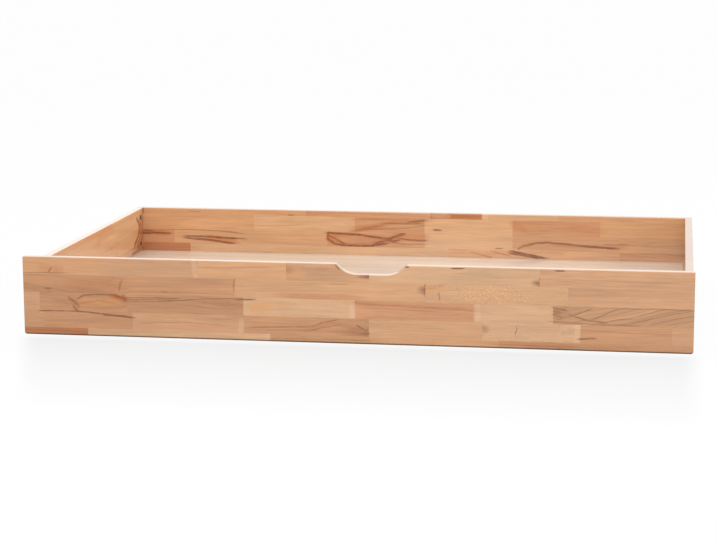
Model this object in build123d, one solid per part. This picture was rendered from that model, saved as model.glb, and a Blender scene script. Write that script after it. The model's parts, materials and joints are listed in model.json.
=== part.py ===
from build123d import *

import os

# Under bed box on fixed castors: a long, low open box of stave-glued heartwood beech boards
# with a birch plywood floor. The front board stands higher than the sides and has a hand scoop.
#
# Frame, in millimetres: the origin is on the floor under the middle of the box. +X runs along
# the long front to its right end, +Y from the front board to the back board, +Z up.

# ---- driving dimensions -------------------------------------------------------------------
LENGTH = 1500.0            # front board, end to end
DEPTH = 950.0              # front face to back face
BOARD = 18.0               # thickness of the four stave-glued boards
FLOOR_GAP = 12.0           # floor to the lower edge of the front board
FRONT_HEIGHT = 180.0
SIDE_STEP = 21.0           # sides and back end this far below the top of the front board
SIDE_HEIGHT = 150.0
END_OVERHANG = 3.0         # front board past the outer face of each side

SCOOP_WIDTH = 157.0        # hand scoop, across its mouth
SCOOP_DEPTH = 23.0
SCOOP_OFFSET = 48.5        # scoop centre to the right of the front board's centre
SCOOP_FLOOR_RADIUS = 58.0
SCOOP_MOUTH_RADIUS = 4.0
FRONT_LOWER_CORNER = 7.0   # in the plane of the front face
FRONT_UPPER_CORNER = 3.0
EDGE_ROUND = 2.0           # softened edges of the boards
FRONT_LOWER_ROUND = 6.0    # long lower edge of the front face

FLOOR_THICKNESS = 10.0     # birch plywood
FLOOR_TOP = 42.0           # plywood top above the lower edge of the front board
FLOOR_PLAY = 0.75          # plywood to each board around it

CLEAT = 20.0               # square battens under the plywood, one on each board
RAIL_WIDTH = 40.0          # flat battens across the middle bays
RAIL_X = 330.0
TIMBER_PLAY = 0.5          # batten ends to the timber they meet
BATTEN_EDGE = 1.0          # chamfer on the battens

# ---- levels and faces that follow ---------------------------------------------------------
FRONT_TOP = FLOOR_GAP + FRONT_HEIGHT
SIDE_TOP = FRONT_TOP - SIDE_STEP
SIDE_BOTTOM = SIDE_TOP - SIDE_HEIGHT
SIDE_MIDDLE = (SIDE_TOP + SIDE_BOTTOM) / 2
PLY_TOP = FLOOR_GAP + FLOOR_TOP
PLY_UNDER = PLY_TOP - FLOOR_THICKNESS
BOX_HALF = LENGTH / 2 - END_OVERHANG       # outer faces of the sides
INNER_HALF_X = BOX_HALF - BOARD            # inner faces of the sides
HALF_DEPTH = DEPTH / 2
INNER_HALF_Y = HALF_DEPTH - BOARD          # inner faces of front and back
BOARD_MID_X = BOX_HALF - BOARD / 2
CLEAT_MID_X = INNER_HALF_X - CLEAT / 2
CLEAT_MID_Y = INNER_HALF_Y - CLEAT / 2
CLEAT_MID_Z = PLY_UNDER - CLEAT / 2
CLEAT_BOTTOM = PLY_UNDER - CLEAT

# ---- corner fittings: two cam locks and two wooden dowels in each corner ---------------------
CAM_HEIGHTS = (SIDE_TOP - 24.0, SIDE_TOP - 95.0)
DOWEL_HEIGHTS = (SIDE_TOP - 59.5, SIDE_BOTTOM + 15.0)
CAM_FROM_END = 24.0
CAM_RADIUS = 6.0
CAM_LENGTH = 12.5
CAM_BORE_DEPTH = 13.0
CAM_PLAY = 0.08
CAM_CHANNEL = 6.6          # square way through the cam for the bolt head
CAM_DRIVE = (7.0, 1.6, 2.4)          # cross recess: length, width, depth
BOLT_THREAD = (2.5, 11.0)            # radius, length in the front or back board
BOLT_SHAFT = (3.0, 16.0)
BOLT_NECK = (1.9, 5.0)
BOLT_HEAD = (2.9, 3.6)
BOLT_BORE_RADIUS = 3.2
BOLT_PILOT_PLAY = 0.03
DOWEL_RADIUS = 4.0
DOWEL_LENGTH = 30.0
DOWEL_IN_BOARD = 11.0      # the rest is in the end of the side
DOWEL_PLAY = 0.06
DOWEL_END_PLAY = 0.8
DOWEL_CHAMFER = 1.0

# ---- wood screws ----------------------------------------------------------------------------
SCREW_RADIUS = 1.75
SCREW_PLAY = 0.03
SCREW_POINT = 3.0
SUNK_HEAD = (3.5, 2.2)     # countersunk head: radius, depth
PAN_HEAD = (3.6, 2.0)      # pan head: radius, height
SCREW_DRIVE = (3.6, 0.8, 1.3)        # cross recess: length, width, depth
CLEAT_SCREW_LENGTH = 30.0
FLOOR_SCREW_LENGTH = 26.0
CASTOR_SCREW_LENGTH = 9.0
LONG_CLEAT_SCREWS = (-552.0, -276.0, 0.0, 276.0, 552.0)
SHORT_CLEAT_SCREWS = (-390.0, -130.0, 130.0, 390.0)
LONG_FLOOR_SCREWS = (-690.0, -414.0, -138.0, 138.0, 414.0, 690.0)
SHORT_FLOOR_SCREWS = (-270.0, 0.0, 270.0)
RAIL_FLOOR_SCREWS = (-400.0, -200.0, 0.0, 200.0, 400.0)

# ---- fixed castors -----------------------------------------------------------------------------
CASTOR_X = {"left": -655.0, "centre": 0.0, "right": 655.0}
CASTOR_Y = {"front": -370.0, "rear": 370.0}
WHEEL_RADIUS = 17.5
RIM_RADIUS = 15.0
TYRE_WIDTH = 16.0
TYRE_SHOULDER = 2.0
TYRE_SEAT_PLAY = 0.01
HUB_RADIUS = 6.0
HUB_WIDTH = 18.0
RIM_WALL = 3.0
WEB_WIDTH = 4.0
SPOKE_COUNT = 6
SPOKE_WIDTH = 2.4
SPOKE_SETBACK = 1.5        # spokes end this far inside the rim's side
AXLE_RADIUS = 2.5
AXLE_PLAY = 0.05
RIVET_PLAY = 0.02
RIVET_HEAD = (4.3, 1.6)
SHEET = 1.5                # pressed steel of the castor housing
PLATE_SIZE = (56.0, 42.0)
PLATE_CORNER = 5.0
PLATE_HOLE_RADIUS = 2.2
PLATE_HOLES = (21.0, 14.0)
CHEEK_INSIDE = 9.5
CHEEK_TOP_WIDTH = 32.0
CHEEK_BOSS_RADIUS = 8.0
HOUSING_BEND = 2.0

CORNERS = [(sx, sy) for sx in (-1, 1) for sy in (-1, 1)]


def block(x_low, x_high, y_low, y_high, z_low, z_high):
    """A rectangular solid between two corners."""
    size = (x_high - x_low, y_high - y_low, z_high - z_low)
    middle = ((x_low + x_high) / 2, (y_low + y_high) / 2, (z_low + z_high) / 2)
    return Pos(*middle) * Box(*size)


def rod(radius, start, direction, length):
    """A round bar that begins at start and runs along direction, one of the frame's axes."""
    turn = {"+X": Rot(0, 90, 0), "-X": Rot(0, -90, 0), "+Y": Rot(-90, 0, 0),
            "-Y": Rot(90, 0, 0), "+Z": Rot(0, 0, 0), "-Z": Rot(180, 0, 0)}[direction]
    return Pos(*start) * turn * Cylinder(radius, length, align=(Align.CENTER, Align.CENTER, Align.MIN))


def place(shape, start, direction):
    """Moves a shape modelled along +Z from the origin so that it runs along direction."""
    turn = {"+X": Rot(0, 90, 0), "-X": Rot(0, -90, 0), "+Y": Rot(-90, 0, 0),
            "-Y": Rot(90, 0, 0), "+Z": Rot(0, 0, 0), "-Z": Rot(180, 0, 0)}[direction]
    return Pos(*start) * turn * shape


def sign_axis(letter, sign):
    """'+X' or '-X', from the letter and a sign."""
    return ("+" if sign > 0 else "-") + letter


# ---- where the fasteners sit: each is (start point, direction of travel) ------------------------
def cleat_screw_places():
    """Screws that hold the cleats to the boards, driven outwards through each cleat."""
    places = []
    for side in (-1, 1):
        for x in LONG_CLEAT_SCREWS:
            places.append(((x, side * (INNER_HALF_Y - CLEAT), CLEAT_MID_Z), sign_axis("Y", side)))
        for y in SHORT_CLEAT_SCREWS:
            places.append(((side * (INNER_HALF_X - CLEAT), y, CLEAT_MID_Z), sign_axis("X", side)))
    return places


def floor_screw_places():
    """Screws driven up through the cleats and rails into the plywood."""
    places = []
    for side in (-1, 1):
        places += [((x, side * CLEAT_MID_Y, CLEAT_BOTTOM), "+Z") for x in LONG_FLOOR_SCREWS]
        places += [((side * CLEAT_MID_X, y, CLEAT_BOTTOM), "+Z") for y in SHORT_FLOOR_SCREWS]
        places += [((side * RAIL_X, y, CLEAT_BOTTOM), "+Z") for y in RAIL_FLOOR_SCREWS]
    return places


def castor_places():
    """Castor name and the point of the plywood's underside above its wheel."""
    return {f"{row}_{column}": (x, y) for row, y in CASTOR_Y.items() for column, x in CASTOR_X.items()}


def castor_screw_places():
    """Four pan-head screws for each castor plate."""
    places = []
    hole_x, hole_y = PLATE_HOLES
    for x, y in castor_places().values():
        for sx, sy in CORNERS:
            places.append(((x + sx * hole_x, y + sy * hole_y, PLY_UNDER - SHEET), "+Z"))
    return places


# ---- fasteners -----------------------------------------------------------------------------------
def cross_recess(length, width, depth):
    """Tool for a cross-slot drive, cut down from z = 0 along +Z."""
    lift = (Align.CENTER, Align.CENTER, Align.MIN)
    return Box(length, width, depth, align=lift) + Box(width, length, depth, align=lift)


def sunk_screw(length):
    """Countersunk wood screw, head face at z = 0, point along +Z."""
    head_radius, head_depth = SUNK_HEAD
    up = (Align.CENTER, Align.CENTER, Align.MIN)
    head = Cone(head_radius, SCREW_RADIUS, head_depth, align=up)
    shank = Pos(0, 0, head_depth) * Cylinder(SCREW_RADIUS, length - head_depth - SCREW_POINT, align=up)
    point = Pos(0, 0, length - SCREW_POINT) * Cone(SCREW_RADIUS, 0.3, SCREW_POINT, align=up)
    return head + shank + point - cross_recess(*SCREW_DRIVE)


def sunk_hole(length):
    """The hole that a countersunk screw fills, with a hair of play."""
    head_radius, head_depth = SUNK_HEAD
    up = (Align.CENTER, Align.CENTER, Align.MIN)
    head = Cone(head_radius + SCREW_PLAY, SCREW_RADIUS + SCREW_PLAY, head_depth, align=up)
    return head + Cylinder(SCREW_RADIUS + SCREW_PLAY, length + SCREW_PLAY, align=up)


def pan_screw(length):
    """Pan-head wood screw, underside of the head at z = 0, point along +Z."""
    head_radius, head_height = PAN_HEAD
    up = (Align.CENTER, Align.CENTER, Align.MIN)
    head = Cylinder(head_radius, head_height, align=(Align.CENTER, Align.CENTER, Align.MAX))
    head = fillet(head.edges().sort_by(Axis.Z)[0], head_height * 0.7)
    shank = Cylinder(SCREW_RADIUS, length - SCREW_POINT, align=up)
    point = Pos(0, 0, length - SCREW_POINT) * Cone(SCREW_RADIUS, 0.3, SCREW_POINT, align=up)
    return head + shank + point - Pos(0, 0, -head_height) * cross_recess(*SCREW_DRIVE)


def cam_lock():
    """Cam housing along +Z from its visible face at z = 0. Its bolt arrives along -X."""
    up = (Align.CENTER, Align.CENTER, Align.MIN)
    body = Cylinder(CAM_RADIUS, CAM_LENGTH, align=up)
    body = chamfer(body.edges().sort_by(Axis.Z)[0], 0.5)
    channel_start = -2.2       # a little past the cam's middle, where the bolt head is held
    reach = CAM_RADIUS + 1.0
    channel = block(channel_start, reach, -CAM_CHANNEL / 2, CAM_CHANNEL / 2,
                    BOARD / 2 - CAM_CHANNEL / 2, CAM_LENGTH + 1.0)
    arrow = Pos(CAM_RADIUS - 1.6, 0, 0) * extrude(RegularPolygon(0.9, 3), 0.4)
    return body - channel - cross_recess(*CAM_DRIVE) - arrow


def cam_bolt():
    """Connecting bolt along +Z: thread in the board below z = 0, head in the cam above."""
    up = (Align.CENTER, Align.CENTER, Align.MIN)
    down = (Align.CENTER, Align.CENTER, Align.MAX)
    thread = Cylinder(*BOLT_THREAD, align=down)
    shaft = Cylinder(*BOLT_SHAFT, align=up)
    neck = Pos(0, 0, BOLT_SHAFT[1]) * Cylinder(*BOLT_NECK, align=up)
    head = Pos(0, 0, BOLT_SHAFT[1] + BOLT_NECK[1]) * Cylinder(*BOLT_HEAD, align=up)
    head = chamfer(head.edges().sort_by(Axis.Z)[-1], 0.8)
    return thread + shaft + neck + head


def dowel():
    """Beech dowel along +Z, with DOWEL_IN_BOARD of it below z = 0."""
    pin = Cylinder(DOWEL_RADIUS, DOWEL_LENGTH, align=(Align.CENTER, Align.CENTER, Align.MIN))
    pin = chamfer(pin.edges().filter_by(GeomType.CIRCLE), DOWEL_CHAMFER)
    return Pos(0, 0, -DOWEL_IN_BOARD) * pin


# ---- boards -----------------------------------------------------------------------------------------
def end_bores(sx, sy):
    """Tools for the holes that one corner's fittings need, in the side and in the board it meets."""
    tools = []
    into_side = sign_axis("Y", -sy)
    into_board = sign_axis("Y", sy)
    joint_y = sy * INNER_HALF_Y
    for z in CAM_HEIGHTS:
        cam_y = sy * (INNER_HALF_Y - CAM_FROM_END)
        tools.append(rod(CAM_RADIUS + CAM_PLAY, (sx * INNER_HALF_X, cam_y, z),
                         sign_axis("X", sx), CAM_BORE_DEPTH))
        tools.append(rod(BOLT_BORE_RADIUS, (sx * BOARD_MID_X, joint_y, z), into_side, CAM_FROM_END))
        tools.append(rod(BOLT_THREAD[0] + BOLT_PILOT_PLAY, (sx * BOARD_MID_X, joint_y, z),
                         into_board, BOLT_THREAD[1] + 0.5))
    for z in DOWEL_HEIGHTS:
        start = (sx * BOARD_MID_X, joint_y, z)
        tools.append(rod(DOWEL_RADIUS + DOWEL_PLAY, start, into_side,
                         DOWEL_LENGTH - DOWEL_IN_BOARD + DOWEL_END_PLAY))
        tools.append(rod(DOWEL_RADIUS + DOWEL_PLAY, start, into_board, DOWEL_IN_BOARD + DOWEL_END_PLAY))
    return tools


def cleat_pilots():
    """Tools for the screw holes that the cleat screws make in cleats and boards."""
    return [place(sunk_hole(CLEAT_SCREW_LENGTH), *spot) for spot in cleat_screw_places()]


def floor_pilots():
    """Tools for the screw holes in cleats, rails and plywood."""
    return [place(sunk_hole(FLOOR_SCREW_LENGTH), *spot) for spot in floor_screw_places()]


def near(tools, solid):
    """Only the tools whose boxes meet the solid's box."""
    box = solid.bounding_box()
    kept = []
    for tool in tools:
        other = tool.bounding_box()
        apart = (other.min.X > box.max.X or other.max.X < box.min.X
                 or other.min.Y > box.max.Y or other.max.Y < box.min.Y
                 or other.min.Z > box.max.Z or other.max.Z < box.min.Z)
        if not apart:
            kept.append(tool)
    return kept


def scoop_outline():
    """The hand scoop in the plane of the front face: 45 degree ends run into a flat floor."""
    half = SCOOP_WIDTH / 2
    mouth, floor = FRONT_TOP, FRONT_TOP - SCOOP_DEPTH
    above = mouth + SCOOP_DEPTH
    points = [(SCOOP_OFFSET - half - SCOOP_DEPTH, above), (SCOOP_OFFSET + half + SCOOP_DEPTH, above),
              (SCOOP_OFFSET + half - SCOOP_DEPTH, floor), (SCOOP_OFFSET - half + SCOOP_DEPTH, floor)]
    outline = Polygon(*points, align=None)
    floor_corners = outline.vertices().sort_by(Axis.Y)[:2]
    return fillet(floor_corners, SCOOP_FLOOR_RADIUS)


def front_outline():
    """Front board seen from the front, with its rounded corners and the scoop."""
    board = Pos(0, FLOOR_GAP + FRONT_HEIGHT / 2) * Rectangle(LENGTH, FRONT_HEIGHT)
    outline = board - scoop_outline()
    lower = outline.vertices().group_by(Axis.Y)[0]
    outline = fillet(lower, FRONT_LOWER_CORNER)
    top = outline.vertices().filter_by(lambda v: abs(v.Y - FRONT_TOP) < 1e-6)
    outer = [v for v in top if abs(v.X) > LENGTH / 2 - 1]
    outline = fillet(outer, FRONT_UPPER_CORNER)
    top = outline.vertices().filter_by(lambda v: abs(v.Y - FRONT_TOP) < 1e-6)
    mouth = [v for v in top if abs(v.X - SCOOP_OFFSET) < SCOOP_WIDTH]
    return fillet(mouth, SCOOP_MOUTH_RADIUS)


def front_panel():
    """Front board, standing on the XZ plane's outline, with all its edges softened."""
    sheet = Plane((0, -INNER_HALF_Y, 0), x_dir=(1, 0, 0), z_dir=(0, -1, 0)) * front_outline()
    board = extrude(sheet, BOARD)
    faces = board.faces().filter_by(Axis.Y)
    rims = [edge for face in faces for edge in face.edges()]
    board = fillet(rims, EDGE_ROUND)
    section = Rectangle(BOARD, FRONT_HEIGHT)
    lower_front = section.vertices().group_by(Axis.Y)[0].sort_by(Axis.X)[0]
    section = fillet(lower_front, FRONT_LOWER_ROUND)
    middle = (-LENGTH / 2, -HALF_DEPTH + BOARD / 2, FLOOR_GAP + FRONT_HEIGHT / 2)
    moulder = extrude(Plane(middle, x_dir=(0, 1, 0), z_dir=(1, 0, 0)) * section, LENGTH)
    board = board & moulder
    tools = cleat_pilots()
    for sx in (-1, 1):
        tools += end_bores(sx, -1)
    return board - near(tools, board)


def back_panel():
    """Back board, across the ends of both sides."""
    board = block(-BOX_HALF, BOX_HALF, INNER_HALF_Y, HALF_DEPTH, SIDE_BOTTOM, SIDE_TOP)
    board = fillet(board.edges(), EDGE_ROUND)
    tools = cleat_pilots()
    for sx in (-1, 1):
        tools += end_bores(sx, 1)
    return board - near(tools, board)


def side_panel(sx):
    """Left (sx = -1) or right side, between the front and back boards."""
    inner, outer = sorted((sx * INNER_HALF_X, sx * BOX_HALF))
    board = block(inner, outer, -INNER_HALF_Y, INNER_HALF_Y, SIDE_BOTTOM, SIDE_TOP)
    board = fillet(board.edges().filter_by(Axis.Y), EDGE_ROUND)
    tools = cleat_pilots() + end_bores(sx, -1) + end_bores(sx, 1)
    return board - near(tools, board)


def bottom_panel():
    """Birch plywood floor, lying on the cleats and rails."""
    half_x, half_y = INNER_HALF_X - FLOOR_PLAY, INNER_HALF_Y - FLOOR_PLAY
    sheet = block(-half_x, half_x, -half_y, half_y, PLY_UNDER, PLY_TOP)
    tools = floor_pilots()
    for start, direction in castor_screw_places():
        tools.append(rod(SCREW_RADIUS + SCREW_PLAY, start, direction, CASTOR_SCREW_LENGTH + SCREW_PLAY))
    return sheet - near(tools, sheet)


def batten(x_low, x_high, y_low, y_high):
    """A batten under the plywood, with softened long edges and its screw holes."""
    bar = block(x_low, x_high, y_low, y_high, CLEAT_BOTTOM, PLY_UNDER)
    along = Axis.X if x_high - x_low > y_high - y_low else Axis.Y
    bar = chamfer(bar.edges().filter_by(along), BATTEN_EDGE)
    return bar - near(cleat_pilots() + floor_pilots(), bar)


def long_cleat(sy):
    """Cleat on the front (sy = -1) or back board, from side to side."""
    y_low, y_high = sorted((sy * INNER_HALF_Y, sy * (INNER_HALF_Y - CLEAT)))
    half = INNER_HALF_X - TIMBER_PLAY
    return batten(-half, half, y_low, y_high)


def short_cleat(sx):
    """Cleat on the left (sx = -1) or right side, between the long cleats."""
    x_low, x_high = sorted((sx * INNER_HALF_X, sx * (INNER_HALF_X - CLEAT)))
    half = INNER_HALF_Y - CLEAT - TIMBER_PLAY
    return batten(x_low, x_high, -half, half)


def cross_rail(sx):
    """Flat rail under the plywood, front to back, in the left or right half of the box."""
    half = INNER_HALF_Y - CLEAT - TIMBER_PLAY
    return batten(sx * RAIL_X - RAIL_WIDTH / 2, sx * RAIL_X + RAIL_WIDTH / 2, -half, half)


# ---- castor parts, modelled with the wheel's centre at the origin and the axle along X ---------------
TOP_OF_CASTOR = PLY_UNDER - WHEEL_RADIUS       # plate's upper face above the axle


def castor_housing():
    """Pressed steel plate with a fork of two cheeks."""
    plate = extrude(RectangleRounded(*PLATE_SIZE, PLATE_CORNER), SHEET)
    plate = Pos(0, 0, TOP_OF_CASTOR - SHEET) * plate
    hole_x, hole_y = PLATE_HOLES
    for sx, sy in CORNERS:
        plate -= rod(PLATE_HOLE_RADIUS, (sx * hole_x, sy * hole_y, TOP_OF_CASTOR - 2 * SHEET), "+Z", 3 * SHEET)
    bridge_top = TOP_OF_CASTOR - SHEET
    boss = Circle(CHEEK_BOSS_RADIUS)
    head = Pos(0, bridge_top - SHEET) * Rectangle(CHEEK_TOP_WIDTH, 2 * SHEET)
    outline = make_hull((boss + head).edges())
    outside = CHEEK_INSIDE + SHEET
    fork = extrude(Plane((-outside, 0, 0), x_dir=(0, 1, 0), z_dir=(1, 0, 0)) * outline, 2 * outside)
    roof = bridge_top - SHEET
    far = WHEEL_RADIUS + CHEEK_TOP_WIDTH
    fork -= block(-CHEEK_INSIDE, CHEEK_INSIDE, -far, far, -far, roof)
    fork -= block(-far, far, -far, far, bridge_top, far)
    bends = fork.edges().filter_by(Axis.Y).group_by(Axis.Z)[-1]
    fork = fillet(bends, HOUSING_BEND - 0.6)
    fork -= rod(AXLE_RADIUS + RIVET_PLAY, (-outside - 1, 0, 0), "+X", 2 * outside + 2)
    return plate + fork


def castor_axle():
    """Riveted axle, with a domed head outside each cheek."""
    outside = CHEEK_INSIDE + SHEET
    head_radius, head_length = RIVET_HEAD
    axle = rod(AXLE_RADIUS, (-outside - 0.5, 0, 0), "+X", 2 * outside + 1)
    for direction, sx in (("-X", -1), ("+X", 1)):
        head = rod(head_radius, (sx * outside, 0, 0), direction, head_length)
        rim = head.edges().filter_by(GeomType.CIRCLE).sort_by(Axis.X)[-1 if sx > 0 else 0]
        axle += fillet(rim, head_length * 0.8)
    return axle


def castor_wheel():
    """Wheel body: hub, web with spokes, and the rim under the tyre."""
    half_rim, half_hub = TYRE_WIDTH / 2, HUB_WIDTH / 2
    wheel = rod(RIM_RADIUS, (-half_rim, 0, 0), "+X", TYRE_WIDTH)
    hollow = half_rim - WEB_WIDTH / 2
    for direction, sx in (("+X", 1), ("-X", -1)):
        wheel -= rod(RIM_RADIUS - RIM_WALL, (sx * WEB_WIDTH / 2, 0, 0), direction, hollow + 1)
    spoke_half = half_rim - SPOKE_SETBACK
    for step in range(SPOKE_COUNT):
        reach = RIM_RADIUS - RIM_WALL + 0.5
        spoke = block(-spoke_half, spoke_half, 0, reach, -SPOKE_WIDTH / 2, SPOKE_WIDTH / 2)
        wheel += Rot(360 / SPOKE_COUNT * step, 0, 0) * spoke
    wheel += rod(HUB_RADIUS, (-half_hub, 0, 0), "+X", HUB_WIDTH)
    return wheel - rod(AXLE_RADIUS + AXLE_PLAY, (-half_hub - 1, 0, 0), "+X", HUB_WIDTH + 2)


def castor_tyre():
    """Soft tread around the wheel body."""
    half = TYRE_WIDTH / 2
    tyre = rod(WHEEL_RADIUS, (-half, 0, 0), "+X", TYRE_WIDTH)
    tyre = fillet(tyre.edges().filter_by(GeomType.CIRCLE), TYRE_SHOULDER)
    return tyre - rod(RIM_RADIUS + TYRE_SEAT_PLAY, (-half - 1, 0, 0), "+X", TYRE_WIDTH + 2)


# ---- fastener groups ------------------------------------------------------------------------------------
def cam_locks():
    """Two cams in each corner, sunk in the inner faces of the sides."""
    locks = []
    for sx, sy in CORNERS:
        turned = Rot(0, 0, 90 * sy) * cam_lock()       # its channel faces the board it pulls
        for z in CAM_HEIGHTS:
            start = (sx * INNER_HALF_X, sy * (INNER_HALF_Y - CAM_FROM_END), z)
            locks.append(place(turned, start, sign_axis("X", sx)))
    return locks


def cam_bolts():
    """One bolt for each cam, screwed into the front or back board."""
    bolts = []
    for sx, sy in CORNERS:
        for z in CAM_HEIGHTS:
            bolts.append(place(cam_bolt(), (sx * BOARD_MID_X, sy * INNER_HALF_Y, z), sign_axis("Y", -sy)))
    return bolts


def dowels():
    """Two dowels in each corner."""
    pins = []
    for sx, sy in CORNERS:
        for z in DOWEL_HEIGHTS:
            pins.append(place(dowel(), (sx * BOARD_MID_X, sy * INNER_HALF_Y, z), sign_axis("Y", -sy)))
    return pins


def driven(screw, places):
    """A copy of the screw at each place."""
    return [place(screw, *spot) for spot in places]


def write(name, shape):
    """Writes one node's STEP file. A list of shapes becomes a group of separate solids."""
    if isinstance(shape, list):
        shape = Compound(children=[Solid(piece.solids()[0].wrapped) for piece in shape])
    export_step(shape, f"parts/{name}.step")


def main():
    os.makedirs("parts", exist_ok=True)
    write("front_panel", front_panel())
    write("back_panel", back_panel())
    write("left_side_panel", side_panel(-1))
    write("right_side_panel", side_panel(1))
    write("bottom_panel", bottom_panel())
    write("front_cleat", long_cleat(-1))
    write("back_cleat", long_cleat(1))
    write("left_cleat", short_cleat(-1))
    write("right_cleat", short_cleat(1))
    write("left_cross_rail", cross_rail(-1))
    write("right_cross_rail", cross_rail(1))
    write("cam_locks", cam_locks())
    write("cam_bolts", cam_bolts())
    write("wooden_dowels", dowels())
    write("cleat_screws", driven(sunk_screw(CLEAT_SCREW_LENGTH), cleat_screw_places()))
    write("floor_screws", driven(sunk_screw(FLOOR_SCREW_LENGTH), floor_screw_places()))
    write("castor_screws", driven(pan_screw(CASTOR_SCREW_LENGTH), castor_screw_places()))
    parts = {"housing": castor_housing(), "axle": castor_axle(),
             "wheel": castor_wheel(), "tyre": castor_tyre()}
    for name, (x, y) in castor_places().items():
        for part, shape in parts.items():
            write(f"castor_{name}_{part}", Pos(x, y, WHEEL_RADIUS) * shape)


main()
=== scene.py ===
import json
import random
from math import pi, radians

import bmesh
import bpy
from mathutils import Euler, Matrix, Vector


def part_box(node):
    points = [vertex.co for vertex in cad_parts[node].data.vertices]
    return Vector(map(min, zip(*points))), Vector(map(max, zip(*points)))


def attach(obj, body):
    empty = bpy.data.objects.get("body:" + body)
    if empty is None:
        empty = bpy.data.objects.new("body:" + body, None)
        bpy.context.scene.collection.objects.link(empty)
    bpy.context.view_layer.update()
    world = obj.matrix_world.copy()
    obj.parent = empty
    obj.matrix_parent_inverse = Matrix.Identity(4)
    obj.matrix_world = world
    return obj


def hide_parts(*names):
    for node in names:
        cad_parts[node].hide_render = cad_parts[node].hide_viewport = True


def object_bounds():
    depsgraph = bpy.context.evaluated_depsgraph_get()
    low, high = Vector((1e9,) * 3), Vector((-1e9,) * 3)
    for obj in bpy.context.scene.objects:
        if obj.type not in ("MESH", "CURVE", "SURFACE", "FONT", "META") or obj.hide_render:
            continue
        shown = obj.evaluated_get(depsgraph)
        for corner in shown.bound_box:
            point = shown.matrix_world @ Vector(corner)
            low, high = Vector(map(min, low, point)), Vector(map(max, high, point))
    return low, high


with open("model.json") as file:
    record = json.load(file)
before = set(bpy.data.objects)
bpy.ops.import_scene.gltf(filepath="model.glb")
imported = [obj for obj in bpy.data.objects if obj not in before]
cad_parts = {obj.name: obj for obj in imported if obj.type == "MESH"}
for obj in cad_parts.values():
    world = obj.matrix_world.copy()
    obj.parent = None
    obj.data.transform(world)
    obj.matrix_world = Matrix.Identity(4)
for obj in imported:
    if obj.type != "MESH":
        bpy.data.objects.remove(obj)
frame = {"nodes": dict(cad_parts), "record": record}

NODES = frame["nodes"]
CAD_BOX = [list(corner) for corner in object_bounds()]
MM = 0.001
FULL_TURN = 2 * pi

# ---- staves --------------------------------------------------------------------------------------
# Each kind of stave: colour (sRGB, 0 to 255), heartwood figure, flecks, growth lines, grain angle.
KINDS = {
    "tan": ((205, 154, 113), 0.06, 0.30, 0.60, 0.5),
    "pale": ((212, 166, 125), 0.00, 0.25, 0.45, -0.4),
    "honey": ((211, 159, 115), 0.04, 0.30, 0.60, -0.6),
    "orange": ((200, 148, 105), 0.10, 0.25, 0.70, 0.8),
    "pink": ((201, 146, 105), 0.08, 0.35, 0.60, -0.8),
    "rosy": ((205, 148, 106), 0.10, 0.25, 0.80, -0.7),
    "brown": ((203, 148, 105), 0.25, 0.25, 0.90, 1.0),
    "red": ((186, 119, 75), 0.15, 0.20, 0.80, -0.7),
    "speckled": ((210, 160, 116), 0.00, 1.00, 0.30, 0.4),
    "flecked": ((216, 170, 129), 0.00, 0.78, 0.30, -0.4),
    "rough": ((198, 144, 102), 0.35, 0.50, 0.80, 2.5),
    "wild": ((195, 146, 105), 0.20, 0.30, 1.50, -13.0),
    "dark": ((207, 151, 109), 0.40, 0.20, 1.50, 2.0),
}
# Each row of staves from the top down: its lower edge, then (right end, kind) from left to right.
# Millimetres, in the board's own view: across the front and back it is X, along the sides Y.
END = 9999
FRONT_ROWS = [
    (152, [(-343, "tan"), (-142, "honey"), (44, "tan"), (418, "pale"), (END, "tan")]),
    (111, [(-505, "rough"), (-258, "pink"), (168, "honey"), (480, "speckled"), (END, "tan")]),
    (70, [(-712, "tan"), (-507, "brown"), (-240, "rough"), (12, "pale"), (275, "rosy"), (448, "pale"),
          (END, "wild")]),
    (30, [(-704, "orange"), (-495, "pink"), (-238, "tan"), (43, "brown"), (294, "honey"), (508, "flecked"),
          (704, "pink"), (END, "tan")]),
    (-99, [(-600, "red"), (-179, "pale"), (45, "orange"), (330, "honey"), (610, "orange"), (END, "pink")]),
]
BACK_ROWS = [
    (156, [(-277, "honey"), (-22, "brown"), (60, "pink"), (198, "red"), (400, "pale"), (END, "tan")]),
    (116, [(-420, "honey"), (-143, "pale"), (45, "dark"), (280, "pale"), (510, "rosy"), (END, "honey")]),
    (76, [(-641, "pink"), (-456, "honey"), (-218, "honey"), (46, "brown"), (280, "pale"),
          (560, "tan"), (END, "honey")]),
    (36, [(-597, "red"), (110, "pale"), (562, "honey"), (END, "brown")]),
    (-99, [(-350, "tan"), (120, "pink"), (400, "orange"), (END, "tan")]),
]
LEFT_ROWS = [
    (156, [(-150, "pink"), (168, "rosy"), (END, "pale")]),
    (116, [(-260, "tan"), (60, "honey"), (END, "pale")]),
    (76, [(-120, "honey"), (210, "tan"), (END, "honey")]),
    (36, [(-300, "tan"), (90, "honey"), (END, "orange")]),
    (-99, [(-40, "brown"), (END, "tan")]),
]
RIGHT_ROWS = [
    (156, [(-210, "pale"), (140, "tan"), (END, "honey")]),
    (116, [(-50, "tan"), (280, "pink"), (END, "tan")]),
    (76, [(-240, "pink"), (30, "rough"), (END, "pale")]),
    (36, [(-110, "honey"), (200, "brown"), (END, "tan")]),
    (-99, [(60, "tan"), (END, "pink")]),
]

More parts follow.
